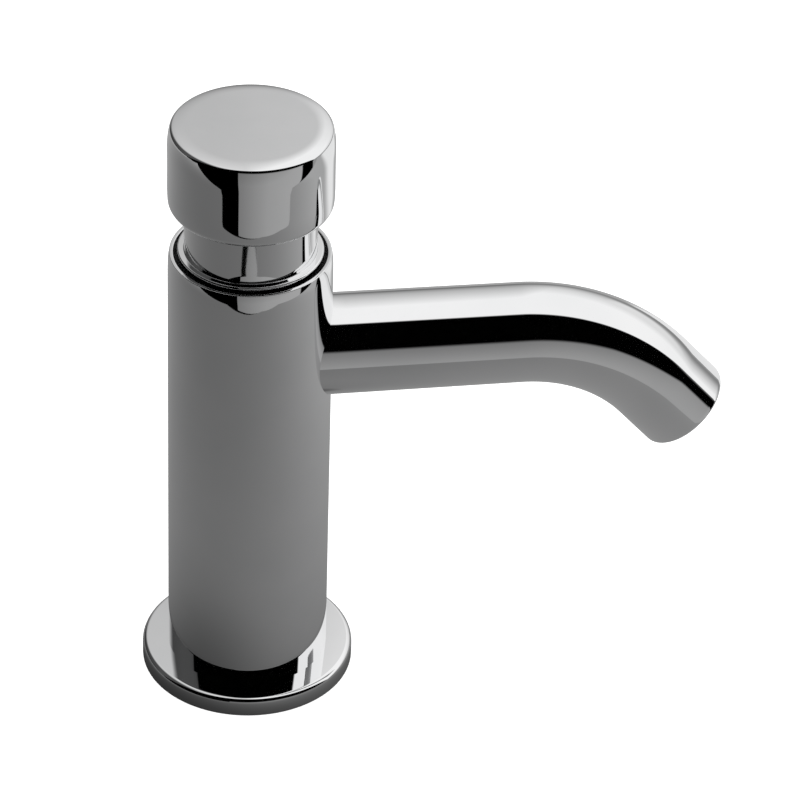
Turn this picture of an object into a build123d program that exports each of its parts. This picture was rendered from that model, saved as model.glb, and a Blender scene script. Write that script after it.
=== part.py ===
from build123d import *
import math
import os

os.makedirs("parts", exist_ok=True)

# A push timed basin tap: a tube body with a bent spout, a round push knob on top and a
# self-closing cartridge inside. Sizes are in millimetres. The origin lies on the body's axis
# in the plane of the deck, +Z runs up the body and the spout points along +X.

# Fits shared by all pieces
running_fit = 0.05
seat_fit = 0.05
cut_overrun = 1.0
select_margin = 0.001

# Body tube
body_radius = 20.0
body_wall = 1.0
rim_height = 122.5
rim_lip_wall = 1.35
rim_recess = 4.0
rim_crown_height = 2.5
rim_crown_depth = 0.32
rim_edge = 0.2
side_hole_radius = 7.0

# Foot plate and its gasket
flange_reach = 6.5
flange_thickness = 5.0
flange_edge = 0.5
gasket_margin = 3.5
gasket_thickness = 1.5

# Shank, G 1/2 outside thread, and what clamps it under the deck
thread_radius = 10.478
shank_wall = 4.0
shank_drop = 50.0
shank_grip = 9.0
shank_clearance = 0.25
inlet_chamfer = 1.0
inlet_stretch = 14.0
relief_width = 3.0
relief_depth = 1.2
deck_thickness = 20.0
backing_washer_radius = 20.0
backing_washer_thickness = 2.0
clamp_washer_radius = 19.0
clamp_washer_thickness = 1.5
backnut_across_flats = 28.0
backnut_thickness = 9.0
nut_corner_share = 0.06

# Strainer in the shank's lower end
filter_thickness = 2.5
filter_socket_step = 1.6
filter_rim = 0.9
filter_hole_radius = 1.6
filter_web = 0.7

# Valve core
core_foot_height = 14.0
core_waist_wall = 4.0
core_floor = 8.0
core_belt_drop = 6.0
port_radius = 5.5

# Spout
spout_drop = 28.5
spout_radius = 12.5
spout_wall = 1.2
spout_straight = 66.5
spout_bend_radius = 45.5
spout_bend_angle = 48.8
spout_end = 12.4
outlet_edge = 0.5

# Outlet insert
insert_recess = 1.2
insert_shell_length = 8.0
insert_shell_wall = 1.5
insert_lip = 0.7
insert_lip_thickness = 1.0
straightener_thickness = 5.0
straightener_hole_radius = 1.6
straightener_web = 0.6

# Cartridge head: shoulder ring, neck, spring well and timing cylinder
ring_gap = 0.95
ring_stand = 1.1
ring_edge = 0.25
ring_step = 1.6
neck_wall = 3.85
neck_edge = 0.6
skirt_step = 1.25
skirt_wall = 3.85
well_drop = 2.1
web_thickness = 5.0
web_lip = 1.2
head_seal_thickness = 1.0

# Stem and its bush
stem_radius = 3.0
stem_foot_step = 0.5
stem_guide_wall = 1.9
stem_collar_step = 1.3
stem_collar_height = 0.7

# Knob and its travel
knob_travel = 8.0
knob_stand = 12.5
knob_height = 22.1
knob_clearance = 0.4
knob_wall = 3.6
knob_roof = 4.65
knob_top_edge = 1.1
knob_foot_edge = 1.4
knob_soft_length = 5.5
knob_soft_depth = 0.3
knob_boss_wall = 3.0
knob_boss_drop = 7.5
knob_thread_depth = 9.0
neck_top_gap = 1.05
locknut_across_flats = 10.0
locknut_thickness = 3.0

# Return spring and its cup
spring_wire_radius = 0.8
spring_turns = 5
cup_thickness = 1.0
cup_side_gap = 0.5
cup_hub_gap = 0.3
cup_hub_wall = 0.8
cup_hub_drop = 3.0

# Piston and lip seal
piston_gap = 1.0
piston_thickness = 3.6
piston_clearance = 0.4
piston_run_on = 0.9
seal_groove_height = 2.2
seal_groove_depth = 1.6
seal_lip_slope = 0.5

# Cage with its seat, and the gasket under it
cage_step = 1.65
cage_inner_step = 0.2
cage_spigot_step = 1.7
cage_spigot_height = 3.0
cage_length = 20.0
cage_collar_height = 4.0
cage_window_count = 6
cage_window_share = 0.55
cage_window_margin = 1.5
gasket_land = 2.0
cage_gasket_thickness = 1.0
seat_bore_radius = 5.5
seat_nose_width = 0.9
seat_nose_height = 1.0

# Poppet
washer_overlap = 1.0
washer_thickness = 2.0
poppet_rim = 0.8
poppet_rim_height = 1.0
poppet_floor = 4.0
stem_tail = 0.8
chamber_margin = 2.6
chamber_side_gap = 2.8

# Radii that follow
tube_bore = body_radius - body_wall
rim_bore = body_radius - rim_lip_wall
core_radius = tube_bore - seat_fit
flange_radius = body_radius + flange_reach
gasket_radius = flange_radius - gasket_margin
shank_bore = thread_radius - shank_wall
shank_hole = thread_radius + shank_clearance
shank_socket = thread_radius + seat_fit
ring_radius = rim_bore - ring_gap
neck_radius = ring_radius - ring_step
well_radius = neck_radius - neck_wall
skirt_radius = neck_radius - skirt_step
timing_bore = skirt_radius - skirt_wall
core_bore = skirt_radius + seat_fit
cage_radius = skirt_radius - cage_step
cage_inner = timing_bore + cage_inner_step
cage_spigot = timing_bore + cage_spigot_step
knob_bore = neck_radius + knob_clearance
knob_radius = knob_bore + knob_wall
boss_radius = stem_radius + knob_boss_wall
cup_bore = boss_radius + cup_hub_gap
cup_hub_radius = cup_bore + cup_hub_wall
cup_radius = well_radius - cup_side_gap
spring_radius = (cup_hub_radius + well_radius) / 2
piston_radius = timing_bore - piston_clearance
nose_radius = seat_bore_radius + seat_nose_width
washer_radius = nose_radius + washer_overlap
poppet_radius = washer_radius + seat_fit + poppet_rim
chamber_radius = poppet_radius + chamber_side_gap
stem_foot_radius = stem_radius - stem_foot_step
stem_hole = stem_radius + running_fit
core_waist = shank_bore + core_waist_wall

# Heights that follow, from the rim down to the deck
core_top = rim_height - rim_recess
spout_height = rim_height - spout_drop
ring_top = rim_height + ring_stand
well_floor = ring_top - well_drop
web_foot = well_floor - web_thickness
piston_top = web_foot - piston_gap
piston_foot = piston_top - piston_thickness
skirt_foot = piston_foot - knob_travel - piston_run_on
spigot_top = skirt_foot + cage_spigot_height
cage_foot = skirt_foot - cage_length
collar_top = cage_foot + cage_collar_height
seat_nose_foot = cage_foot - seat_nose_height
core_shoulder = cage_foot - cage_gasket_thickness
washer_top = seat_nose_foot - running_fit
washer_foot = washer_top - washer_thickness
poppet_foot = washer_foot - poppet_floor
stem_foot = poppet_foot - stem_tail
chamber_floor = stem_foot - knob_travel - chamber_margin
core_belt_foot = chamber_floor - core_belt_drop
knob_foot = ring_top + knob_stand
knob_top = knob_foot + knob_height
knob_ceiling = knob_top - knob_roof
boss_foot = knob_ceiling - knob_boss_drop
stem_top = boss_foot + knob_thread_depth
neck_top = knob_ceiling - knob_travel - neck_top_gap
cup_top = knob_ceiling - running_fit
cup_foot = cup_top - cup_thickness
core_foot_top = flange_thickness + core_foot_height
shank_top = flange_thickness + shank_grip
inlet_foot = -shank_drop
deck_foot = -deck_thickness


def turned(outline):
    """Spin a closed outline of (radius, height) points round the body's axis."""
    with BuildPart() as piece:
        with BuildSketch(Plane.XZ):
            with BuildLine():
                Polyline(*outline, close=True)
            make_face()
        revolve(axis=Axis.Z)
    return piece


def washer(inner, outer, foot, top):
    """A flat ring round the body's axis."""
    return turned([(inner, foot), (outer, foot), (outer, top), (inner, top)])


def hexagon_nut(across_flats, bore, foot, thickness):
    """A hexagon nut whose corners are turned off at both ends."""
    flat_radius = across_flats / 2
    corner_radius = flat_radius / math.cos(math.pi / 6)
    corner_cut = across_flats * nut_corner_share
    top = foot + thickness
    with BuildPart() as nut:
        with BuildSketch(Plane.XY.offset(foot)):
            RegularPolygon(flat_radius, 6, major_radius=False)
            Circle(bore, mode=Mode.SUBTRACT)
        extrude(amount=thickness)
        with BuildSketch(Plane.XZ):
            with BuildLine():
                Polyline(
                    (0, foot),
                    (flat_radius, foot),
                    (corner_radius, foot + corner_cut),
                    (corner_radius, top),
                    (0, top),
                    close=True,
                )
            make_face()
        revolve(axis=Axis.Z, mode=Mode.INTERSECT)
    return nut


def circles_at(part, radius, height):
    """The round edges of one radius at one height on the body's axis."""
    found = []
    for edge in part.edges().filter_by(GeomType.CIRCLE):
        if abs(edge.radius - radius) > select_margin:
            continue
        if abs(edge.center().Z - height) < select_margin:
            found.append(edge)
    return found


def honeycomb(hole_radius, web, outer_radius):
    """Centres of the hexagon holes that lie whole inside a circle."""
    slant = math.cos(math.pi / 6)
    pitch = 2 * hole_radius * slant + web
    steps = math.ceil(outer_radius / pitch)
    centres = []
    for row in range(-steps, steps + 1):
        for column in range(-2 * steps, 2 * steps + 1):
            across = pitch * (column + row / 2)
            along = pitch * row * slant
            if math.hypot(across, along) + hole_radius < outer_radius:
                centres.append((across, along))
    return centres


def finish(piece, name):
    """Label a finished piece and write its file."""
    piece.part.label = name
    export_step(piece.part, f"parts/{name}.step")


# Body tube, crowned towards the rim, with a thin lip there and the water way to the spout
# in its side
crown_foot = rim_height - rim_edge - rim_crown_height
crown_radius = body_radius - rim_crown_depth
with BuildPart() as body_tube:
    with BuildSketch(Plane.XZ):
        with BuildLine():
            Polyline(
                (body_radius, crown_foot),
                (body_radius, flange_thickness),
                (tube_bore, flange_thickness),
                (tube_bore, core_top),
                (rim_bore, core_top),
                (rim_bore, rim_height),
                (crown_radius - rim_edge, rim_height),
                (crown_radius, rim_height - rim_edge),
            )
            TangentArc(
                (body_radius, crown_foot),
                (crown_radius, rim_height - rim_edge),
                tangent=(0, 1),
            )
        make_face()
    revolve(axis=Axis.Z)
    with BuildSketch(Plane.YZ):
        with Locations((0, spout_height)):
            Circle(side_hole_radius)
    extrude(amount=body_radius + cut_overrun, mode=Mode.SUBTRACT)
finish(body_tube, "body_tube")

# Foot plate, recessed below for the gasket
with BuildPart() as base_flange:
    with BuildSketch(Plane.XZ):
        with BuildLine():
            Polyline(
                (shank_hole, gasket_thickness),
                (gasket_radius, gasket_thickness),
                (gasket_radius, 0),
                (flange_radius, 0),
                (flange_radius, flange_thickness),
                (shank_hole, flange_thickness),
                close=True,
            )
        make_face()
    revolve(axis=Axis.Z)
    chamfer(circles_at(base_flange.part, flange_radius, flange_thickness), flange_edge)
finish(base_flange, "base_flange")

deck_gasket = washer(shank_hole, gasket_radius - seat_fit, 0, gasket_thickness)
finish(deck_gasket, "deck_gasket")

# Threaded shank, screwed up into the core's foot. A relief parts the stretch for the supply
# nut from the clamping stretch.
filter_socket = shank_bore + filter_socket_step
filter_top = inlet_foot + filter_thickness
relief_foot = inlet_foot + inlet_stretch
relief_top = relief_foot + relief_width
relief_radius = thread_radius - relief_depth
shank = turned([
    (filter_socket, inlet_foot),
    (thread_radius - inlet_chamfer, inlet_foot),
    (thread_radius, inlet_foot + inlet_chamfer),
    (thread_radius, relief_foot),
    (relief_radius, relief_foot),
    (relief_radius, relief_top),
    (thread_radius, relief_top),
    (thread_radius, shank_top),
    (shank_bore, shank_top),
    (shank_bore, filter_top),
    (filter_socket, filter_top),
])
finish(shank, "shank")

# Rubber washer, steel washer and nut under the deck
backing_foot = deck_foot - backing_washer_thickness
clamp_foot = backing_foot - clamp_washer_thickness
backing_washer = washer(shank_hole, backing_washer_radius, backing_foot, deck_foot)
finish(backing_washer, "backing_washer")

clamp_washer = washer(shank_hole, clamp_washer_radius, clamp_foot, backing_foot)
finish(clamp_washer, "clamp_washer")

backnut = hexagon_nut(
    backnut_across_flats,
    shank_socket,
    clamp_foot - backnut_thickness,
    backnut_thickness,
)
finish(backnut, "backnut")

# Strainer: a disc of small hexagon holes in the shank's lower end
filter_radius = filter_socket - seat_fit
with BuildPart() as inlet_filter:
    with BuildSketch(Plane.XY.offset(inlet_foot)):
        Circle(filter_radius)
        with Locations(*honeycomb(filter_hole_radius, filter_web, filter_radius - filter_rim)):
            RegularPolygon(filter_hole_radius, 6, mode=Mode.SUBTRACT)
    extrude(amount=filter_thickness)
finish(inlet_filter, "inlet_filter")

# Valve core: the shank's socket in its foot, a waist, the poppet's chamber and the
# cartridge's bore, with the port to the spout in its side
with BuildPart() as valve_core:
    with BuildSketch(Plane.XZ):
        with BuildLine():
            Polyline(
                (shank_socket, flange_thickness),
                (core_radius, flange_thickness),
                (core_radius, core_foot_top),
                (core_waist, core_foot_top),
                (core_waist, core_belt_foot),
                (core_radius, core_belt_foot),
                (core_radius, core_top),
                (core_bore, core_top),
                (core_bore, core_shoulder),
                (chamber_radius, core_shoulder),
                (chamber_radius, chamber_floor),
                (shank_bore, chamber_floor),
                (shank_bore, shank_top),
                (shank_socket, shank_top),
                close=True,
            )
        make_face()
    revolve(axis=Axis.Z)
    with BuildSketch(Plane.YZ):
        with Locations((0, spout_height)):
            Circle(port_radius)
    extrude(amount=core_radius + cut_overrun, mode=Mode.SUBTRACT)
finish(valve_core, "valve_core")

# Spout: a straight run, one bend down and a short end
bend = math.radians(spout_bend_angle)
bend_end_x = spout_straight + spout_bend_radius * math.sin(bend)
bend_end_z = spout_height - spout_bend_radius * (1 - math.cos(bend))
outlet_x = bend_end_x + spout_end * math.cos(bend)
outlet_z = bend_end_z - spout_end * math.sin(bend)
spout_plane = Plane(origin=(0, 0, spout_height), x_dir=(0, 1, 0), z_dir=(1, 0, 0))
outlet_plane = Plane(
    origin=(outlet_x, 0, outlet_z),
    x_dir=(0, 1, 0),
    z_dir=(math.cos(bend), 0, -math.sin(bend)),
)


def spout_rod(rod_radius):
    """A round rod along the spout's line."""
    with BuildPart() as rod:
        with BuildLine(Plane.XZ) as line:
            Line((0, spout_height), (spout_straight, spout_height))
            TangentArc((spout_straight, spout_height), (bend_end_x, bend_end_z), tangent=(1, 0))
            Line((bend_end_x, bend_end_z), (outlet_x, outlet_z))
        with BuildSketch(spout_plane):
            Circle(rod_radius)
        sweep(path=line.wires()[0])
    return rod


spout_outside = spout_rod(spout_radius)
spout_inside = spout_rod(spout_radius - spout_wall)
body_band_foot = spout_height - spout_radius - cut_overrun
body_band_top = spout_height + spout_radius + cut_overrun
with BuildPart() as spout_tube:
    add(spout_outside.part)
    chamfer(spout_tube.edges().sort_by(Axis.X)[-1], outlet_edge)
    with BuildSketch(Plane.XY.offset(body_band_foot)):
        Circle(body_radius)
    extrude(amount=body_band_top - body_band_foot, mode=Mode.SUBTRACT)
    add(spout_inside.part, mode=Mode.SUBTRACT)
finish(spout_tube, "spout_tube")

# Outlet insert: a shell with a lip, and the honeycomb that straightens the water
insert_radius = spout_radius - spout_wall - seat_fit
shell_bore = insert_radius - insert_shell_wall
with BuildPart() as aerator_shell:
    with BuildSketch(outlet_plane.offset(-insert_recess - insert_shell_length)):
        Circle(insert_radius)
        Circle(shell_bore, mode=Mode.SUBTRACT)
    extrude(amount=insert_shell_length)
    with BuildSketch(outlet_plane.offset(-insert_recess - insert_lip_thickness)):
        Circle(shell_bore)
        Circle(shell_bore - insert_lip, mode=Mode.SUBTRACT)
    extrude(amount=insert_lip_thickness)
finish(aerator_shell, "aerator_shell")

straightener_drop = insert_recess + insert_lip_thickness + straightener_thickness
straightener_radius = shell_bore - seat_fit
straightener_field = shell_bore - insert_lip
with BuildPart() as flow_straightener:
    with BuildSketch(outlet_plane.offset(-straightener_drop)):
        Circle(straightener_radius)
        with Locations(*honeycomb(straightener_hole_radius, straightener_web, straightener_field)):
            RegularPolygon(straightener_hole_radius, 6, mode=Mode.SUBTRACT)
    extrude(amount=straightener_thickness)
finish(flow_straightener, "flow_straightener")

# Cartridge head: neck with its spring well, shoulder ring, and the timing cylinder below
head_seal_top = core_top + head_seal_thickness
bush_radius = stem_hole + stem_guide_wall
bush_socket = bush_radius + seat_fit
web_step = web_foot + web_lip
with BuildPart() as cartridge_head:
    with BuildSketch(Plane.XZ):
        with BuildLine():
            Polyline(
                (timing_bore, web_foot),
                (timing_bore, spigot_top),
                (cage_spigot, spigot_top),
                (cage_spigot, skirt_foot),
                (skirt_radius, skirt_foot),
                (skirt_radius, head_seal_top),
                (ring_radius, head_seal_top),
                (ring_radius, ring_top),
                (neck_radius, ring_top),
                (neck_radius, neck_top),
                (well_radius, neck_top),
                (well_radius, well_floor),
                (bush_socket, well_floor),
                (bush_socket, web_step),
                (stem_hole, web_step),
                (stem_hole, web_foot),
                close=True,
            )
        make_face()
    revolve(axis=Axis.Z)
    chamfer(circles_at(cartridge_head.part, ring_radius, ring_top), ring_edge)
    chamfer(circles_at(cartridge_head.part, neck_radius, neck_top), neck_edge)
finish(cartridge_head, "cartridge_head")

# Flat rubber seal under the shoulder ring, as wide as the rim's bore
head_seal = washer(core_bore, rim_bore - seat_fit, core_top, head_seal_top)
finish(head_seal, "head_seal")

stem_guide = washer(stem_hole, bush_radius, web_step, well_floor)
finish(stem_guide, "stem_guide")

# Cage under the head: a spigot in the skirt, windows, and the valve's seat in its foot
window_foot = collar_top + cage_window_margin
window_top = skirt_foot - cage_window_margin
window_width = 2 * math.pi * cage_radius / cage_window_count * cage_window_share
with BuildPart() as cartridge_cage:
    with BuildSketch(Plane.XZ):
        with BuildLine():
            Polyline(
                (seat_bore_radius, seat_nose_foot),
                (nose_radius, seat_nose_foot),
                (nose_radius, cage_foot),
                (cage_radius, cage_foot),
                (cage_radius, skirt_foot),
                (cage_spigot - seat_fit, skirt_foot),
                (cage_spigot - seat_fit, spigot_top),
                (cage_inner, spigot_top),
                (cage_inner, collar_top),
                (seat_bore_radius, collar_top),
                close=True,
            )
        make_face()
    revolve(axis=Axis.Z)
    with BuildSketch(Plane.YZ):
        with Locations((0, (window_foot + window_top) / 2)):
            Rectangle(window_width, window_top - window_foot)
    with PolarLocations(0, cage_window_count):
        extrude(amount=cage_radius + cut_overrun, mode=Mode.SUBTRACT)
finish(cartridge_cage, "cartridge_cage")

cage_gasket = washer(cage_radius - gasket_land, cage_radius, core_shoulder, cage_foot)
finish(cage_gasket, "cage_gasket")

# Return spring: one open coil of quarter-turn arcs from the well's floor to the cup
spring_foot = well_floor + spring_wire_radius + seat_fit
spring_rise = cup_foot - spring_wire_radius - seat_fit - spring_foot
spring_gap = spring_rise / spring_turns - 2 * spring_wire_radius
spring_points = []
for quarter in range(4 * spring_turns + 1):
    angle = math.pi / 2 * quarter
    spring_points.append((
        spring_radius * math.cos(angle),
        spring_radius * math.sin(angle),
        spring_foot + spring_rise * quarter / (4 * spring_turns),
    ))
with BuildPart() as return_spring:
    with BuildLine() as coil:
        quarter_rise = spring_rise / (4 * spring_turns)
        heading = Vector(0, spring_radius, quarter_rise / 2)
        for start, end in zip(spring_points, spring_points[1:]):
            arc = TangentArc(start, end, tangent=heading)
            heading = arc % 1
    with BuildSketch(Plane(origin=coil.wires()[0] @ 0, z_dir=coil.wires()[0] % 0)):
        Rectangle(2 * spring_wire_radius, 2 * spring_wire_radius)
    sweep(path=coil.wires()[0], clean=False)
finish(return_spring, "return_spring")
print("spring: least gap between turns", round(spring_gap, 2))

# Spring cup under the knob's roof
spring_cup = turned([
    (cup_bore, cup_foot - cup_hub_drop),
    (cup_hub_radius, cup_foot - cup_hub_drop),
    (cup_hub_radius, cup_foot),
    (cup_radius, cup_foot),
    (cup_radius, cup_top),
    (cup_bore, cup_top),
])
finish(spring_cup, "spring_cup")

# Push knob: its side eases in towards both ends, where two bevels round each edge
soft_radius = knob_radius - knob_soft_depth
foot_bevel = knob_foot_edge * (1 - math.sqrt(0.5))
top_bevel = knob_top_edge * (1 - math.sqrt(0.5))
with BuildPart() as push_knob:
    with BuildSketch(Plane.XZ):
        with BuildLine():
            Polyline(
                (knob_bore, knob_ceiling),
                (knob_bore, knob_foot),
                (soft_radius - knob_foot_edge, knob_foot),
                (soft_radius - foot_bevel, knob_foot + foot_bevel),
                (soft_radius, knob_foot + knob_foot_edge),
            )
            TangentArc(
                (knob_radius, knob_foot + knob_soft_length),
                (soft_radius, knob_foot + knob_foot_edge),
                tangent=(0, -1),
            )
            Line(
                (knob_radius, knob_foot + knob_soft_length),
                (knob_radius, knob_top - knob_soft_length),
            )
            TangentArc(
                (knob_radius, knob_top - knob_soft_length),
                (soft_radius, knob_top - knob_top_edge),
                tangent=(0, 1),
            )
            Polyline(
                (soft_radius, knob_top - knob_top_edge),
                (soft_radius - top_bevel, knob_top - top_bevel),
                (soft_radius - knob_top_edge, knob_top),
                (0, knob_top),
                (0, stem_top),
                (stem_radius + seat_fit, stem_top),
                (stem_radius + seat_fit, boss_foot),
                (boss_radius, boss_foot),
                (boss_radius, knob_ceiling),
                (knob_bore, knob_ceiling),
            )
        make_face()
    revolve(axis=Axis.Z)
finish(push_knob, "push_knob")

# Stem: screwed into the knob, collared over the piston, stepped down at the poppet
collar_radius = stem_radius + stem_collar_step
collar_height = piston_top + stem_collar_height
stem = turned([
    (0, stem_foot),
    (stem_foot_radius, stem_foot),
    (stem_foot_radius, washer_top),
    (stem_radius, washer_top),
    (stem_radius, piston_top),
    (collar_radius, piston_top),
    (collar_radius, collar_height),
    (stem_radius, collar_height),
    (stem_radius, stem_top),
    (0, stem_top),
])
finish(stem, "stem")

stem_locknut = hexagon_nut(
    locknut_across_flats,
    stem_radius + seat_fit,
    boss_foot - locknut_thickness,
    locknut_thickness,
)
finish(stem_locknut, "stem_locknut")

# Piston with its lip seal in a groove
seal_floor = piston_radius - seal_groove_depth
seal_middle = (piston_top + piston_foot) / 2
seal_foot = seal_middle - seal_groove_height / 2
seal_top = seal_middle + seal_groove_height / 2
piston = turned([
    (stem_radius + seat_fit, piston_foot),
    (piston_radius, piston_foot),
    (piston_radius, seal_foot),
    (seal_floor, seal_foot),
    (seal_floor, seal_top),
    (piston_radius, seal_top),
    (piston_radius, piston_top),
    (stem_radius + seat_fit, piston_top),
])
finish(piston, "piston")

lip_radius = timing_bore - running_fit
lip_seal = turned([
    (seal_floor + seat_fit, seal_foot),
    (lip_radius, seal_foot),
    (lip_radius - seal_lip_slope, seal_top),
    (seal_floor + seat_fit, seal_top),
])
finish(lip_seal, "lip_seal")

# Poppet under the seat: a cup screwed on the stem's foot, and the rubber washer in it
foot_hole = stem_foot_radius + seat_fit
poppet_washer = washer(foot_hole, washer_radius, washer_foot, washer_top)
finish(poppet_washer, "poppet_washer")

valve_poppet = turned([
    (foot_hole, poppet_foot),
    (poppet_radius, poppet_foot),
    (poppet_radius, washer_foot + poppet_rim_height),
    (washer_radius + seat_fit, washer_foot + poppet_rim_height),
    (washer_radius + seat_fit, washer_foot),
    (foot_hole, washer_foot),
])
finish(valve_poppet, "valve_poppet")
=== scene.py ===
import math

import bmesh
import bpy
from mathutils import Matrix, Vector


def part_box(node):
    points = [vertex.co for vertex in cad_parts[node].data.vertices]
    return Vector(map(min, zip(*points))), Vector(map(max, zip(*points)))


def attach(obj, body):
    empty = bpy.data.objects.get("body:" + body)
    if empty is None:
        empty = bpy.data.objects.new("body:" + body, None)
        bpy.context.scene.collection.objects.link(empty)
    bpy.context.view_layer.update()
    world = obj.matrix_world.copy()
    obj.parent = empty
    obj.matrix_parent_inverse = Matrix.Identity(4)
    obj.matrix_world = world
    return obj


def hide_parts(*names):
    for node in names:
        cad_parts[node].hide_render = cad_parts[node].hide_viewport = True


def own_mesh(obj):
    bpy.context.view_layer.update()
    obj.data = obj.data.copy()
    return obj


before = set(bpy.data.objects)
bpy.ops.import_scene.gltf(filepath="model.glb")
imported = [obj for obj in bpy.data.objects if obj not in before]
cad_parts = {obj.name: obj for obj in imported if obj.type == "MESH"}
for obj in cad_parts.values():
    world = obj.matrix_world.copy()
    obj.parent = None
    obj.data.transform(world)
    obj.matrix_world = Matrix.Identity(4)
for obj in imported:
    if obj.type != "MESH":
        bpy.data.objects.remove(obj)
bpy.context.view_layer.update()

# The looks of a push timed basin tap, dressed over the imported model. Lengths are in millimetres
# and angles in degrees unless a line says otherwise.
scene = bpy.context.scene
mm = 0.001


def low(node, axis):
    """A node's lowest reach along one axis at rest."""
    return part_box(node)[0]["xyz".index(axis)] / mm


def high(node, axis):
    """A node's highest reach along one axis at rest."""
    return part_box(node)[1]["xyz".index(axis)] / mm


# Camera, placed in metres
camera_heading = 8.934
camera_pitch = 35.522
camera_roll = 1.7657
camera_place = Vector((-0.1162, -0.9774, 0.7819))
camera_lens = 221.51
camera_sensor = 36.0
camera_near = 0.01
camera_far = 50.0

heading = math.radians(camera_heading)
pitch = math.radians(camera_pitch)
roll = math.radians(camera_roll)
front_dir = Vector((-math.sin(heading), -math.cos(heading), 0))
side_dir = Vector((math.cos(heading), -math.sin(heading), 0))


def make_camera():
    """The camera at the photograph's viewing angle."""
    forward = -front_dir * math.cos(pitch) - Vector((0, 0, math.sin(pitch)))
    level = forward.cross(Vector((0, 0, 1))).normalized()
    upright = level.cross(forward)
    right = math.cos(roll) * level + math.sin(roll) * upright
    up = -math.sin(roll) * level + math.cos(roll) * upright
    data = bpy.data.cameras.new("camera")
    data.sensor_width = camera_sensor
    data.lens = camera_lens
    data.clip_start = camera_near
    data.clip_end = camera_far
    camera = bpy.data.objects.new("camera", data)
    scene.collection.objects.link(camera)
    camera.matrix_world = Matrix((
        (right.x, up.x, -forward.x, camera_place.x),
        (right.y, up.y, -forward.y, camera_place.y),
        (right.z, up.z, -forward.z, camera_place.z),
        (0, 0, 0, 1),
    ))
    scene.camera = camera


make_camera()
scene.view_settings.view_transform = "Standard"


# Materials: a colour, a roughness and in some a relief, all following one fine noise
noise_detail = 4.0
tint_dark_until = 0.3
tint_light_from = 0.7
turned_grain = (1, 1, 50)


def new_material(name):
    """A material with its node tree and its main shader."""
    material = bpy.data.materials.new(name)
    material.use_nodes = True
    tree = material.node_tree
    return material, tree, tree.nodes["Principled BSDF"]


def noise(tree, scale, stretch):
    """Fine noise in the piece's own space, drawn out along the axes by stretch."""
    place = tree.nodes.new("ShaderNodeTexCoord")
    mapping = tree.nodes.new("ShaderNodeMapping")
    mapping.inputs["Scale"].default_value = stretch
    texture = tree.nodes.new("ShaderNodeTexNoise")
    texture.inputs["Scale"].default_value = scale
    texture.inputs["Detail"].default_value = noise_detail
    tree.links.new(place.outputs["Object"], mapping.inputs["Vector"])
    tree.links.new(mapping.outputs["Vector"], texture.inputs["Vector"])
    return texture.outputs["Fac"]


def between(tree, value, lowest, highest):
    """Maps a value from 0 to 1 onto a range."""
    node = tree.nodes.new("ShaderNodeMapRange")
    node.inputs["To Min"].default_value = lowest
    node.inputs["To Max"].default_value = highest
    tree.links.new(value, node.inputs["Value"])
    return node.outputs["Result"]


def tint(tree, value, dark, light):
    """A colour that wanders between two colours."""
    ramp = tree.nodes.new("ShaderNodeValToRGB")
    ramp.color_ramp.elements[0].position = tint_dark_until
    ramp.color_ramp.elements[1].position = tint_light_from
    ramp.color_ramp.elements[0].color = (*dark, 1)
    ramp.color_ramp.elements[1].color = (*light, 1)
    tree.links.new(value, ramp.inputs["Fac"])
    return ramp.outputs["Color"]


def surface(name, colours, roughness, grain, stretch=(1, 1, 1), metallic=0.0, relief=0.0, depth=0.02):
    """A material between two colours and two roughnesses. Depth is the relief's, in mm."""
    material, tree, shader = new_material(name)
    shader.inputs["Metallic"].default_value = metallic
    value = noise(tree, grain, stretch)
    tree.links.new(tint(tree, value, *colours), shader.inputs["Base Color"])
    tree.links.new(between(tree, value, *roughness), shader.inputs["Roughness"])
    if relief:
        bump = tree.nodes.new("ShaderNodeBump")
        bump.inputs["Strength"].default_value = relief
        bump.inputs["Distance"].default_value = depth * mm
        tree.links.new(value, bump.inputs["Height"])
        tree.links.new(bump.outputs["Normal"], shader.inputs["Normal"])
    return material


chrome = surface(
    "polished_chrome",
    colours=((0.86, 0.865, 0.87), (0.90, 0.90, 0.905)),
    roughness=(0.018, 0.032),
    grain=60,
    metallic=1.0,
)
brass = surface(
    "turned_brass",
    colours=((0.60, 0.43, 0.20), (0.76, 0.58, 0.32)),
    roughness=(0.16, 0.30),
    grain=40,
    stretch=turned_grain,
    metallic=1.0,
    relief=0.12,
)
steel = surface(
    "stainless",
    colours=((0.55, 0.55, 0.56), (0.68, 0.68, 0.69)),
    roughness=(0.14, 0.28),
    grain=60,
    stretch=turned_grain,
    metallic=1.0,
    relief=0.08,
)
wire = surface(
    "spring_wire",
    colours=((0.50, 0.50, 0.52), (0.64, 0.64, 0.66)),
    roughness=(0.12, 0.22),
    grain=400,
    metallic=1.0,
)
rubber = surface(
    "black_rubber",
    colours=((0.012, 0.012, 0.013), (0.028, 0.028, 0.03)),
    roughness=(0.55, 0.75),
    grain=900,
    relief=0.2,
    depth=0.05,
)
acetal = surface(
    "white_acetal",
    colours=((0.74, 0.74, 0.71), (0.82, 0.82, 0.80)),
    roughness=(0.38, 0.50),
    grain=500,
    relief=0.05,
    depth=0.05,
)
moulding = surface(
    "grey_moulding",
    colours=((0.10, 0.10, 0.11), (0.16, 0.16, 0.17)),
    roughness=(0.40, 0.55),
    grain=600,
    relief=0.08,
    depth=0.05,
)

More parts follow.
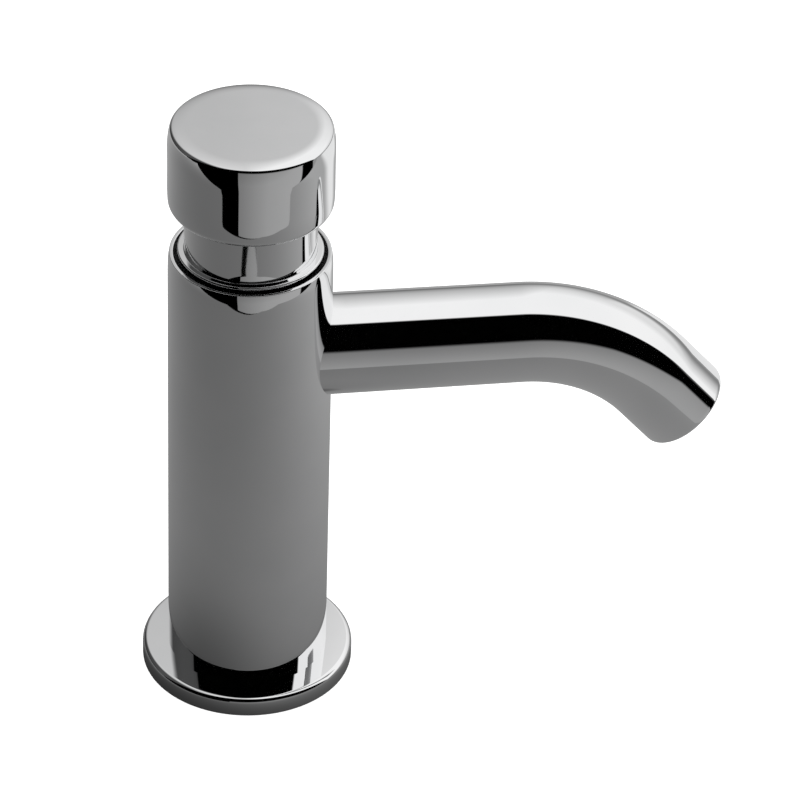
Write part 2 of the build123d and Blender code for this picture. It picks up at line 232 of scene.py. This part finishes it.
# CAD nodes that keep their own shape and get a material
kept_nodes = [
    (chrome, ["aerator_shell"]),
    (brass, ["valve_core", "backnut", "valve_poppet", "stem_guide"]),
    (steel, ["stem", "stem_locknut", "clamp_washer", "inlet_filter"]),
    (rubber, ["deck_gasket", "backing_washer", "head_seal"]),
    (rubber, ["lip_seal", "poppet_washer", "cage_gasket"]),
    (acetal, ["cartridge_cage", "piston", "spring_cup"]),
    (moulding, ["flow_straightener"]),
]
for material, nodes in kept_nodes:
    for node in nodes:
        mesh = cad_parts[node].data
        mesh.materials.clear()
        mesh.materials.append(material)


# Mesh helpers
round_steps = 192
turned_sharpest = 30
swept_sharpest = 40


def add_object(name, mesh):
    """Puts a mesh in the scene as an object."""
    piece = bpy.data.objects.new(name, mesh)
    scene.collection.objects.link(piece)
    return piece


def skin_rings(name, rings, sharpest, closed=True):
    """Joins rings of points, each a list of (x, y, z) in mm, into a smooth mesh."""
    mesh_points = []
    faces = []
    starts = []
    for ring in rings:
        starts.append(len(mesh_points))
        mesh_points.extend((x * mm, y * mm, z * mm) for x, y, z in ring)
    last = len(rings) if closed else len(rings) - 1
    for index in range(last):
        here, there = starts[index], starts[(index + 1) % len(rings)]
        here_count = len(rings[index])
        there_count = len(rings[(index + 1) % len(rings)])
        for step in range(max(here_count, there_count)):
            after = step + 1
            corners = [
                here + step % here_count,
                here + after % here_count,
                there + after % there_count,
                there + step % there_count,
            ]
            face = list(dict.fromkeys(corners))
            if len(face) > 2:
                faces.append(face)
    mesh = bpy.data.meshes.new(name)
    mesh.from_pydata(mesh_points, [], faces)
    shade(mesh, sharpest)
    return add_object(name, mesh)


def shade(mesh, sharpest):
    """Shades a mesh smooth, apart from edges sharper than an angle, with its faces outwards."""
    work = bmesh.new()
    work.from_mesh(mesh)
    bmesh.ops.recalc_face_normals(work, faces=work.faces)
    limit = math.radians(sharpest)
    for face in work.faces:
        face.smooth = True
    for edge in work.edges:
        edge.smooth = len(edge.link_faces) == 2 and edge.calc_face_angle(0.0) < limit
    work.to_mesh(mesh)
    work.free()


def lathe(name, outline):
    """Spins a closed outline of (radius, height) round the body's axis."""
    rings = []
    for radius, height in outline:
        count = round_steps if radius > 0 else 1
        turns = [2 * math.pi * step / count for step in range(count)]
        rings.append([(radius * math.cos(turn), radius * math.sin(turn), height) for turn in turns])
    return skin_rings(name, rings, turned_sharpest)


def arc(across, height, radius, start, end, steps=6):
    """Points on an arc round (across, height), from one angle to another."""
    points = []
    for step in range(steps + 1):
        angle = math.radians(start + (end - start) * step / steps)
        points.append((across + radius * math.cos(angle), height + radius * math.sin(angle)))
    return points


def dress(piece, material, body, node):
    """Gives a piece its material, and lets it ride on a body in place of a CAD node."""
    piece.data.materials.append(material)
    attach(piece, body)
    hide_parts(node)


# Body tube: its wall leans in towards the rim, where the lip's edges are rounded
tube_radius = high("body_tube", "x")
tube_foot = low("body_tube", "z")
rim = high("body_tube", "z")
tube_wall = 1.0
lip_wall = 1.35
lip_recess = 4.0
ease_radius = 85.0
ease_lean = 1.95
ease_lead = 2.0
crown_radius = 14.0
crown_lean = 12.3
rim_round = 0.2


def body_outline():
    """The tube's outline, from its foot up the outside and down the bore."""
    lean = math.radians(crown_lean)
    ease = math.radians(ease_lean)
    crown_top = rim - rim_round * (1 - math.sin(lean))
    crown_height = crown_top - crown_radius * math.sin(lean)
    ease_top = crown_height + crown_radius * math.sin(ease)
    ease_edge = tube_radius - ease_radius * (1 - math.cos(ease))
    crown_across = ease_edge - crown_radius * math.cos(ease)
    rim_across = crown_across + (crown_radius - rim_round) * math.cos(lean)
    ease_height = ease_top - ease_radius * math.sin(ease)
    lip_bore = tube_radius - lip_wall
    return [
        (tube_radius - tube_wall, tube_foot),
        (tube_radius, tube_foot),
        (tube_radius, ease_height - ease_lead),
        *arc(tube_radius - ease_radius, ease_height, ease_radius, 0, ease_lean, steps=4),
        *arc(crown_across, crown_height, crown_radius, ease_lean, crown_lean, steps=12)[1:],
        *arc(rim_across, rim - rim_round, rim_round, crown_lean, 90),
        *arc(lip_bore + rim_round, rim - rim_round, rim_round, 90, 180),
        (lip_bore, rim - lip_recess),
        (tube_radius - tube_wall, rim - lip_recess),
    ]


dress(lathe("body_tube_skin", body_outline()), chrome, "tap_body", "body_tube")

# Foot plate
plate_radius = high("base_flange", "x")
plate_top = high("base_flange", "z")
plate_clearance = 0.25
plate_bore = high("shank", "x") + plate_clearance
plate_recess_radius = 23.0
plate_recess = 1.5
plate_round = 1.4
plate_foot_round = 0.2
plate_outline = [
    (plate_bore, plate_recess),
    (plate_recess_radius, plate_recess),
    (plate_recess_radius, 0),
    *arc(plate_radius - plate_foot_round, plate_foot_round, plate_foot_round, -90, 0, steps=3),
    *arc(plate_radius - plate_round, plate_top - plate_round, plate_round, 0, 90, steps=8),
    (plate_bore, plate_top),
]
dress(lathe("base_flange_skin", plate_outline), chrome, "tap_body", "base_flange")

# Push knob: the side eases in towards both ends, and the top falls away near its edge
knob_radius = high("push_knob", "x")
knob_foot = low("push_knob", "z")
knob_top = high("push_knob", "z")
knob_bore = 16.5
knob_roof = 4.65
knob_ceiling = knob_top - knob_roof
knob_boss_radius = 6.0
knob_boss_length = 7.5
knob_boss_foot = knob_ceiling - knob_boss_length
knob_thread_radius = 3.05
knob_thread_length = 9.0
knob_thread_top = knob_boss_foot + knob_thread_length
knob_inner_round = 0.3
foot_round = 1.9
foot_ease_radius = 55.0
foot_ease = 3.6
waist_radius = 535.0
top_round = 1.1
top_ease_radius = 22.0
top_ease = 12.0
top_fall_radius = 13.0
top_fall = 15.0


def knob_outline():
    """The knob's outline: round the foot, up the slightly waisted side, over the top and back inside."""
    ease = math.radians(foot_ease)
    foot_edge = knob_radius - foot_ease_radius * (1 - math.cos(ease)) - foot_round * math.cos(ease)
    foot_ease_height = knob_foot + foot_round * (1 - math.sin(ease)) + foot_ease_radius * math.sin(ease)
    ease = math.radians(top_ease)
    fall = math.radians(top_fall)
    top_edge = knob_radius - top_ease_radius * (1 - math.cos(ease)) - top_round * math.cos(ease)
    edge_height = knob_top - top_fall_radius * (1 - math.cos(fall)) - top_round * math.cos(fall)
    top_ease_height = edge_height + top_round * math.sin(ease) - top_ease_radius * math.sin(ease)
    fall_start = top_edge + top_round * math.sin(fall) - top_fall_radius * math.sin(fall)
    waist_height = (foot_ease_height + top_ease_height) / 2
    lean = math.asin((top_ease_height - foot_ease_height) / 2 / (waist_radius + top_ease_radius))
    waist_across = knob_radius + waist_radius * math.cos(lean)
    waist = math.degrees(lean)
    inner_across = knob_bore + knob_inner_round
    foot_ease_across = knob_radius - foot_ease_radius
    top_ease_across = knob_radius - top_ease_radius
    return [
        (knob_bore, knob_ceiling),
        *arc(inner_across, knob_foot + knob_inner_round, knob_inner_round, 180, 270, steps=3),
        *arc(foot_edge, knob_foot + foot_round, foot_round, -90, -foot_ease, steps=9),
        *arc(foot_ease_across, foot_ease_height, foot_ease_radius, -foot_ease, waist, steps=8),
        *arc(waist_across, waist_height, waist_radius, 180 + waist, 180 - waist)[1:-1],
        *arc(top_ease_across, top_ease_height, top_ease_radius, -waist, top_ease, steps=10),
        *arc(top_edge, edge_height, top_round, top_ease, 90 - top_fall, steps=9),
        *arc(fall_start, knob_top - top_fall_radius, top_fall_radius, 90 - top_fall, 90, steps=8),
        (0, knob_top),
        (0, knob_thread_top),
        (knob_thread_radius, knob_thread_top),
        (knob_thread_radius, knob_boss_foot),
        (knob_boss_radius, knob_boss_foot),
        (knob_boss_radius, knob_ceiling),
    ]


dress(lathe("push_knob_skin", knob_outline()), chrome, "plunger", "push_knob")

# Cartridge head: timing cylinder, shoulder ring and neck
head_foot = low("cartridge_head", "z")
neck_top = high("cartridge_head", "z")
ring_radius = high("cartridge_head", "x")
ring_stand = 1.1
ring_sink = 3.0
ring_top = rim + ring_stand
ring_foot = rim - ring_sink
ring_round = 0.4
neck_radius = 16.1
neck_cove = 0.2
neck_upright = 2.25
neck_flare = 400.0
neck_flare_lean = 1.7
neck_round = 0.6
well_radius = 12.25
well_drop = 2.1
well_floor = ring_top - well_drop
bush_radius = 5.0
bush_drop = 3.8
bush_foot = well_floor - bush_drop
stem_bore = 3.05
web_depth = 5.0
web_foot = well_floor - web_depth
timing_bore = 11.0
skirt_radius = 14.85
spigot_radius = 12.7
spigot_height = 3.0
head_outline = [
    (timing_bore, web_foot),
    (timing_bore, head_foot + spigot_height),
    (spigot_radius, head_foot + spigot_height),
    (spigot_radius, head_foot),
    (skirt_radius, head_foot),
    (skirt_radius, ring_foot),
    (ring_radius, ring_foot),
    *arc(ring_radius - ring_round, ring_top - ring_round, ring_round, 0, 90),
    *arc(neck_radius + neck_cove, ring_top + neck_cove, neck_cove, 270, 180),
    *arc(neck_radius + neck_flare, ring_top + neck_upright, neck_flare, 180, 180 - neck_flare_lean, steps=8),
    *arc(neck_radius - neck_round, neck_top - neck_round, neck_round, 0, 90),
    (well_radius, neck_top),
    (well_radius, well_floor),
    (bush_radius, well_floor),
    (bush_radius, bush_foot),
    (stem_bore, bush_foot),
    (stem_bore, web_foot),
]
dress(lathe("cartridge_head_skin", head_outline), chrome, "tap_body", "cartridge_head")

# Spout: a tube along a straight run, a bend and a short end, narrowing a little on its way
spout_radius = high("spout_tube", "y")
spout_height = 94.0
spout_wall = 1.2
spout_taper = 0.33
spout_straight = 66.5
spout_bend_radius = 45.5
spout_bend = 48.8
spout_end = 12.4
spout_root = 17.0
spout_edge = 0.7
spout_steps = 160
spout_run_steps = 16
spout_bend_steps = 40
spout_end_steps = 8


def spout_stations():
    """Stations on the spout's line: place along x, height and angle below level."""
    bend = math.radians(spout_bend)
    stations = []
    for step in range(spout_run_steps + 1):
        along = spout_root + (spout_straight - spout_root) * step / spout_run_steps
        stations.append((along, spout_height, 0))
    for step in range(1, spout_bend_steps + 1):
        angle = bend * step / spout_bend_steps
        along = spout_straight + spout_bend_radius * math.sin(angle)
        stations.append((along, spout_height - spout_bend_radius * (1 - math.cos(angle)), angle))
    along, height, _ = stations[-1]
    for step in range(1, spout_end_steps + 1):
        length = spout_end * step / spout_end_steps
        stations.append((along + length * math.cos(bend), height - length * math.sin(bend), bend))
    return stations


def spout_ring(along, height, angle, radius, onwards=0):
    """A ring across the spout's line, set onwards along it."""
    ring = []
    for step in range(spout_steps):
        turn = 2 * math.pi * step / spout_steps
        lift = radius * math.sin(turn)
        x = along + onwards * math.cos(angle) + lift * math.sin(angle)
        z = height - onwards * math.sin(angle) + lift * math.cos(angle)
        ring.append((x, radius * math.cos(turn), z))
    return ring


def against_tube(ring):
    """A ring moved along x onto the body tube's wall."""
    return [(math.sqrt(max(tube_radius ** 2 - y ** 2, 0)), y, z) for _, y, z in ring]


def make_spout():
    """The spout's outside, its rounded end and its bore."""
    stations = spout_stations()
    length = spout_straight - spout_root + spout_end + spout_bend_radius * math.radians(spout_bend)
    bore = spout_radius - spout_wall
    outside = []
    run = 0
    before = stations[0]
    for station in stations:
        run += math.dist(before[:2], station[:2])
        before = station
        outside.append(spout_ring(*station, spout_radius - spout_taper * run / length))
    outside[0] = against_tube(outside[0])
    outside.pop()
    end = stations[-1]
    end_radius = spout_radius - spout_taper
    inner_edge = spout_edge / 2
    lip = []
    for across, onwards in arc(end_radius - spout_edge, -spout_edge, spout_edge, 0, 90, steps=7):
        lip.append(spout_ring(*end, across, onwards))
    for across, onwards in arc(bore + inner_edge, -inner_edge, inner_edge, 90, 180, steps=3):
        lip.append(spout_ring(*end, across, onwards))
    inside = [spout_ring(*station, bore) for station in reversed(stations[:-1])]
    inside[-1] = against_tube(inside[-1])
    return skin_rings("spout_tube_skin", outside + lip + inside, swept_sharpest)


dress(make_spout(), chrome, "tap_body", "spout_tube")

# Shank with its G 1/2 thread, parted by the relief below the backnut
shank_foot = low("shank", "z")
shank_top = high("shank", "z")
thread_radius = high("shank", "x")
thread_pitch = 1.814
thread_depth = 1.1
thread_fade = 1.5
shank_bore = 6.478
filter_socket = 8.078
filter_depth = 2.5
lower_thread = 14.0
relief_length = 3.0
relief_depth = 1.2
relief_foot = shank_foot + lower_thread
relief_top = relief_foot + relief_length
relief_radius = thread_radius - relief_depth
thread_rings_per_turn = 8


def thread_share(height):
    """How deep the thread is cut at a height, from 0 at its ends to 1."""
    share = 0
    for foot, top in ((shank_foot, relief_foot), (relief_top, shank_top)):
        inside = min(height - foot, top - height) / thread_fade
        share = max(share, min(1, inside))
    return share


def make_shank():
    """The shank, its outside cut by a helical groove."""
    turns = [2 * math.pi * step / round_steps for step in range(round_steps)]
    spacing = thread_pitch / thread_rings_per_turn
    count = round((shank_top - shank_foot) / spacing)
    rings = []
    for index in range(count + 1):
        height = shank_foot + (shank_top - shank_foot) * index / count
        in_relief = relief_foot < height < relief_top
        crest = relief_radius if in_relief else thread_radius
        cut = 0 if in_relief else thread_depth * thread_share(height)
        ring = []
        for turn in turns:
            wave = 0.5 - 0.5 * math.cos(2 * math.pi * height / thread_pitch - turn)
            radius = crest - cut * wave
            ring.append((radius * math.cos(turn), radius * math.sin(turn), height))
        rings.append(ring)
    bore_outline = [
        (shank_bore, shank_top),
        (shank_bore, shank_foot + filter_depth),
        (filter_socket, shank_foot + filter_depth),
        (filter_socket, shank_foot),
    ]
    for radius, height in bore_outline:
        rings.append([(radius * math.cos(turn), radius * math.sin(turn), height) for turn in turns])
    return skin_rings("shank_thread", rings, swept_sharpest)


dress(make_shank(), brass, "tap_body", "shank")

# Return spring: a round wire, wound close in its end turns
spring_foot = well_floor
cup_seat_height = 3.0
spring_top = low("spring_cup", "z") + cup_seat_height
spring_wire = 0.8
spring_radius = 9.675
spring_turns = 5
spring_end_turns = 0.8
coil_steps = 48
wire_steps = 14


def make_spring():
    """The spring's wire, swept round its coil."""
    rise = spring_top - spring_foot - 2 * spring_wire
    end_pitch = 2 * spring_wire
    open_turns = spring_turns - 2 * spring_end_turns
    open_pitch = (rise - 2 * spring_end_turns * end_pitch) / open_turns
    rings = []
    for step in range(spring_turns * coil_steps + 1):
        turn = step / coil_steps
        closed = min(turn, spring_end_turns) + max(0, turn - spring_end_turns - open_turns)
        opened = min(max(turn - spring_end_turns, 0), open_turns)
        height = spring_foot + spring_wire + end_pitch * closed + open_pitch * opened
        angle = 2 * math.pi * turn
        ring = []
        for side in range(wire_steps):
            around = 2 * math.pi * side / wire_steps
            radius = spring_radius + spring_wire * math.cos(around)
            lift = spring_wire * math.sin(around)
            ring.append((radius * math.cos(angle), radius * math.sin(angle), height + lift))
        rings.append(ring)
    first = [(spring_radius, 0, spring_foot + spring_wire)]
    last = [(spring_radius, 0, spring_top - spring_wire)]
    return skin_rings("return_spring_coil", [first, *rings, last], swept_sharpest, closed=False)


spring = make_spring()
dress(spring, wire, "tap_body", "return_spring")
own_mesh(spring)


# Studio: a pale floor for the camera, and what the chrome mirrors
floor_reach = 3000
floor_glow = 0.62
floor_white = 0.9


def glowing(name):
    """A material that only glows, with its node tree and its shader."""
    material = bpy.data.materials.new(name)
    material.use_nodes = True
    tree = material.node_tree
    tree.nodes.clear()
    output = tree.nodes.new("ShaderNodeOutputMaterial")
    glow = tree.nodes.new("ShaderNodeEmission")
    tree.links.new(glow.outputs[0], output.inputs["Surface"])
    return material, tree, glow, output


def flat(name, corners, material):
    """A level sheet of the studio, with its corners in mm."""
    mesh = bpy.data.meshes.new(name)
    mesh.from_pydata([tuple(c * mm for c in corner) for corner in corners], [], [range(len(corners))])
    mesh.materials.append(material)
    sheet = add_object(name, mesh)
    return sheet


def mirrored_only(sheet):
    """Lets a sheet be seen in the chrome and nowhere else."""
    sheet.visible_camera = False
    sheet.visible_diffuse = False
    sheet.visible_transmission = False
    sheet.visible_shadow = False


def make_floor():
    """A pale floor that the chrome doesn't mirror and that is see-through from below."""
    material, tree, glow, output = glowing("floor_paint")
    glow.inputs["Strength"].default_value = floor_glow
    paint = tree.nodes.new("ShaderNodeBsdfDiffuse")
    paint.inputs["Color"].default_value = (floor_white, floor_white, floor_white, 1)
    both = tree.nodes.new("ShaderNodeAddShader")
    clear = tree.nodes.new("ShaderNodeBsdfTransparent")
    side = tree.nodes.new("ShaderNodeNewGeometry")
    mix = tree.nodes.new("ShaderNodeMixShader")
    tree.links.new(paint.outputs[0], both.inputs[0])
    tree.links.new(glow.outputs[0], both.inputs[1])
    tree.links.new(side.outputs["Backfacing"], mix.inputs["Fac"])
    tree.links.new(both.outputs[0], mix.inputs[1])
    tree.links.new(clear.outputs[0], mix.inputs[2])
    tree.links.new(mix.outputs[0], output.inputs["Surface"])
    corners = [
        (-floor_reach, -floor_reach, 0),
        (floor_reach, -floor_reach, 0),
        (floor_reach, floor_reach, 0),
        (-floor_reach, floor_reach, 0),
    ]
    flat("floor", corners, material).visible_glossy = False


make_floor()


class Maths:
    """Sums made of nodes, in one tree."""

    def __init__(self, tree):
        self.tree = tree

    def feed(self, socket, value):
        """Links a node's result, or sets a number."""
        if isinstance(value, (int, float)):
            socket.default_value = value
        else:
            self.tree.links.new(value, socket)

    def do(self, operation, first, second=0.0):
        """One sum."""
        node = self.tree.nodes.new("ShaderNodeMath")
        node.operation = operation
        self.feed(node.inputs[0], first)
        self.feed(node.inputs[1], second)
        return node.outputs[0]

    def along(self, vector, direction):
        """How far a vector reaches along a direction."""
        node = self.tree.nodes.new("ShaderNodeVectorMath")
        node.operation = "DOT_PRODUCT"
        node.inputs[1].default_value = tuple(direction)
        self.tree.links.new(vector, node.inputs[0])
        return node.outputs["Value"]

    def step(self, value, start, end):
        """Rises smoothly from 0 at start to 1 at end."""
        node = self.tree.nodes.new("ShaderNodeMapRange")
        node.interpolation_type = "SMOOTHSTEP"
        node.inputs["From Min"].default_value = start
        node.inputs["From Max"].default_value = end
        self.tree.links.new(value, node.inputs["Value"])
        return node.outputs["Result"]

    def line(self, value, start, end, first, last):
        """Goes straight from first, at start, to last, at end."""
        node = self.tree.nodes.new("ShaderNodeMapRange")
        node.inputs["From Min"].default_value = start
        node.inputs["From Max"].default_value = end
        node.inputs["To Min"].default_value = first
        node.inputs["To Max"].default_value = last
        self.tree.links.new(value, node.inputs["Value"])
        return node.outputs["Result"]

    def fade(self, value, full, gone):
        """Falls smoothly from 1 to 0."""
        return self.do("SUBTRACT", 1.0, self.step(value, full, gone))

    def both(self, first, second):
        """The product of two values."""
        return self.do("MULTIPLY", first, second)


# Table as the chrome sees it: a sheet glowing with the painted light of a lit grey table, brighter to the
# right and the back, with painted shadow dark round the tap.
# Its places are (across, ahead) from the axis, as the camera sees right and near.
# The front edge runs straight across, then slants back twice on the right.
table_ahead = 196
table_corner = 60
table_slant = 0.30
table_side_corner = 150
table_side_slant = 0.62
table_reach = 1500

# Glow at the axis, its limits, and what it gains per metre; the curved gains are over table_span
table_glow = 0.217
table_darkest = 0.12
table_brightest = 0.40
table_span = 100
table_across = 0.44
table_back = 0.57
table_back_more = 0.155
table_across_more = 0.09
table_twist = 0.1

# Brighter far back on the right
far_glow = 0.45
far_start = 100
far_full = 160
far_slant = 0.35
far_side_start = 20
far_side_full = 80

# Painted shadow under the tap, and darker painted contact shade where the foot plate meets the table
shade_across = -15
shade_ahead = 15
shade_spread = 26
shade_depth = 0.7
contact_shade_reach = 6
contact_shade_level = 0.5


def on_table(across, ahead):
    """A place level with the table, in mm."""
    place = side_dir * across + front_dir * ahead
    return (place.x, place.y, 0)


def make_table():
    """The table's top, cut along its front edge."""
    # The table's glow is painted light and shade, seen only in the chrome.
    material, tree, glow, _ = glowing("table_painted_light")
    maths = Maths(tree)
    place = tree.nodes.new("ShaderNodeTexCoord").outputs["Object"]
    across = maths.along(place, side_dir)
    ahead = maths.along(place, front_dir)
    tilt = maths.do("SUBTRACT", maths.both(across, table_across), maths.both(ahead, table_back))
    curve = maths.both(maths.both(ahead, ahead), table_back_more / (table_span * mm))
    across_curve = maths.both(maths.both(across, across), table_across_more / (table_span * mm))
    twist = maths.both(maths.both(across, ahead), -table_twist / (table_span * mm))
    curve = maths.do("ADD", curve, maths.do("ADD", across_curve, twist))
    level = maths.do("ADD", table_glow, maths.do("ADD", tilt, curve))
    level = maths.do("MINIMUM", maths.do("MAXIMUM", level, table_darkest), table_brightest)
    slanted = maths.do("ADD", across, maths.both(ahead, far_slant))
    far_side = maths.step(slanted, far_side_start * mm, far_side_full * mm)
    far_back = maths.step(maths.both(ahead, -1), far_start * mm, far_full * mm)
    level = maths.do("ADD", level, maths.both(maths.both(far_side, far_back), far_glow))
    # Painted shadow of the tap: a dark blob in the table's glow round its foot.
    off_across = maths.do("SUBTRACT", across, shade_across * mm)
    off_ahead = maths.do("SUBTRACT", ahead, shade_ahead * mm)
    distance = maths.do("ADD", maths.both(off_across, off_across), maths.both(off_ahead, off_ahead))
    fall = maths.do("EXPONENT", maths.both(distance, -0.5 / (shade_spread * mm) ** 2))
    shadow = maths.do("SUBTRACT", 1.0, maths.both(fall, shade_depth))
    # Painted contact shade: the glow falls close to the foot plate's edge.
    from_axis = maths.do("SQRT", maths.do("ADD", maths.both(across, across), maths.both(ahead, ahead)))
    contact_shade = maths.line(from_axis, plate_radius * mm, (plate_radius + contact_shade_reach) * mm, contact_shade_level, 1)
    tree.links.new(maths.both(maths.both(level, shadow), contact_shade), glow.inputs["Strength"])
    side_ahead = table_ahead - table_slant * (table_side_corner - table_corner)
    corners = [
        on_table(-table_reach, table_ahead),
        on_table(table_corner, table_ahead),
        on_table(table_side_corner, side_ahead),
        on_table(table_reach, side_ahead - table_side_slant * (table_reach - table_side_corner)),
        on_table(table_reach, -table_reach),
        on_table(-table_reach, -table_reach),
    ]
    mirrored_only(flat("table_card", corners, material))


make_table()

# Dark border along the table's front edge, which narrows to nothing on the right
border_left = -200
border_middle = -55
border_right = 45
border_width = 7


def make_border():
    """The border's sheet, level with the table and just ahead of its edge."""
    material, _, glow, _ = glowing("border_black")
    glow.inputs["Strength"].default_value = 0.0
    corners = [
        on_table(border_left, table_ahead),
        on_table(border_right, table_ahead),
        on_table(border_middle, table_ahead + border_width),
        on_table(border_left, table_ahead + border_width),
    ]
    mirrored_only(flat("border_card", corners, material))


make_border()

# World: beyond the table, a light tent overhead and behind, a grey panel low in front, and
# black between them. Over is the elevation in the plane ahead: 0 level in front, 90 straight
# up, 180 level behind.

# Tent: glow at each angle over, changed by how far to the side it is
tent_start = 75.5
tent_full = 79
tent_stops = (
    (79, 0.80),
    (86, 0.95),
    (112, 0.98),
    (135, 0.80),
    (158, 0.60),
    (168, 0.44),
    (176, 0.22),
    (180, 0.18),
)
tent_rise = 2.5
tent_level = 0.043
tent_least = 0.78
tent_most = 1.25
tent_limit = 0.98
left_gone = -0.65
left_full = -0.25
left_rest = 0.10

# Bright side wall on the right, behind the level of the tap
right_start = 0.15
right_full = 0.45
right_glow = 0.80
right_rise = 0.20
right_ahead_full = -0.05
right_ahead_gone = 0.10

# Panel: its sides are azimuths, its foot and top angles over, and its top sinks to the right
panel_left = -14.6
panel_left_blur = 0.3
panel_right = 72
panel_right_blur = 1
panel_foot = -60
panel_foot_blur = 1
panel_top = 17
panel_full = 9
panel_sink = 14
panel_sink_start = 42
panel_sink_end = 75
panel_glow = 0.28
panel_start = -15
panel_middle = 25
panel_left_share = 0.62
panel_middle_share = 1.06
panel_right_share = 1.2
panel_low = -25
panel_high = 10
panel_low_share = 1.15
panel_high_share = 0.75

# Grey below the level behind
back_foot = -90
back_blur = 1
back_glow = 0.30


def make_world():
    """The studio, painted by direction for glossy rays and plain white for all others."""
    world = bpy.data.worlds.new("studio")
    scene.world = world
    world.use_nodes = True
    tree = world.node_tree
    tree.nodes.clear()
    maths = Maths(tree)
    direction = tree.nodes.new("ShaderNodeTexCoord").outputs["Generated"]
    height = maths.along(direction, (0, 0, 1))
    ahead = maths.along(direction, front_dir)
    across = maths.along(direction, side_dir)
    over = maths.both(maths.do("ARCTAN2", height, ahead), 180 / math.pi)
    azimuth = maths.both(maths.do("ARCTAN2", across, ahead), 180 / math.pi)

    ramp = tree.nodes.new("ShaderNodeValToRGB")
    stops = ramp.color_ramp.elements
    while len(stops) < len(tent_stops):
        stops.new(0.5)
    for stop, (angle, glow) in zip(stops, tent_stops):
        stop.position = angle / 180
        stop.color = (glow, glow, glow, 1)
    tree.links.new(maths.both(over, 1 / 180), ramp.inputs["Fac"])
    aside = maths.do("ADD", 1.0, maths.both(maths.do("SUBTRACT", across, tent_level), tent_rise))
    aside = maths.do("MINIMUM", maths.do("MAXIMUM", aside, tent_least), tent_most)
    tent = maths.both(maths.step(over, tent_start, tent_full), ramp.outputs["Color"])
    tent = maths.do("MINIMUM", maths.both(tent, aside), tent_limit)
    tent = maths.both(tent, maths.do("MAXIMUM", maths.step(across, left_gone, left_full), left_rest))
    right_behind = maths.fade(ahead, right_ahead_full, right_ahead_gone)
    right = maths.both(maths.step(across, right_start, right_full), right_behind)
    right = maths.both(right, maths.both(maths.step(height, 0.0, right_rise), right_glow))

    panel_sides = maths.both(
        maths.step(azimuth, panel_left - panel_left_blur, panel_left + panel_left_blur),
        maths.fade(azimuth, panel_right - panel_right_blur, panel_right + panel_right_blur),
    )
    sunk = maths.do("ADD", over, maths.line(azimuth, panel_sink_start, panel_sink_end, 0, panel_sink))
    panel_height = maths.both(
        maths.step(over, panel_foot - panel_foot_blur, panel_foot + panel_foot_blur),
        maths.fade(sunk, panel_full, panel_top),
    )
    panel_light = maths.both(
        maths.line(azimuth, panel_start, panel_middle, panel_left_share, panel_middle_share),
        maths.line(azimuth, panel_middle, panel_sink_end, 1.0, panel_right_share),
    )
    panel_fall = maths.line(over, panel_low, panel_high, panel_low_share, panel_high_share)
    panel_light = maths.both(panel_light, panel_fall)
    panel = maths.both(maths.both(panel_sides, panel_height), maths.both(panel_light, panel_glow))

    behind = maths.both(maths.fade(over, back_foot - back_blur, back_foot + back_blur), back_glow)
    light = maths.do("MAXIMUM", maths.do("MAXIMUM", tent, right), maths.do("MAXIMUM", panel, behind))

    mirrored = tree.nodes.new("ShaderNodeBackground")
    mirrored.inputs["Color"].default_value = (1, 1, 1, 1)
    tree.links.new(light, mirrored.inputs["Strength"])
    plain = tree.nodes.new("ShaderNodeBackground")
    plain.inputs["Color"].default_value = (1, 1, 1, 1)
    path = tree.nodes.new("ShaderNodeLightPath")
    mix = tree.nodes.new("ShaderNodeMixShader")
    output = tree.nodes.new("ShaderNodeOutputWorld")
    tree.links.new(path.outputs["Is Glossy Ray"], mix.inputs["Fac"])
    tree.links.new(plain.outputs[0], mix.inputs[1])
    tree.links.new(mirrored.outputs[0], mix.inputs[2])
    tree.links.new(mix.outputs[0], output.inputs["Surface"])


make_world()
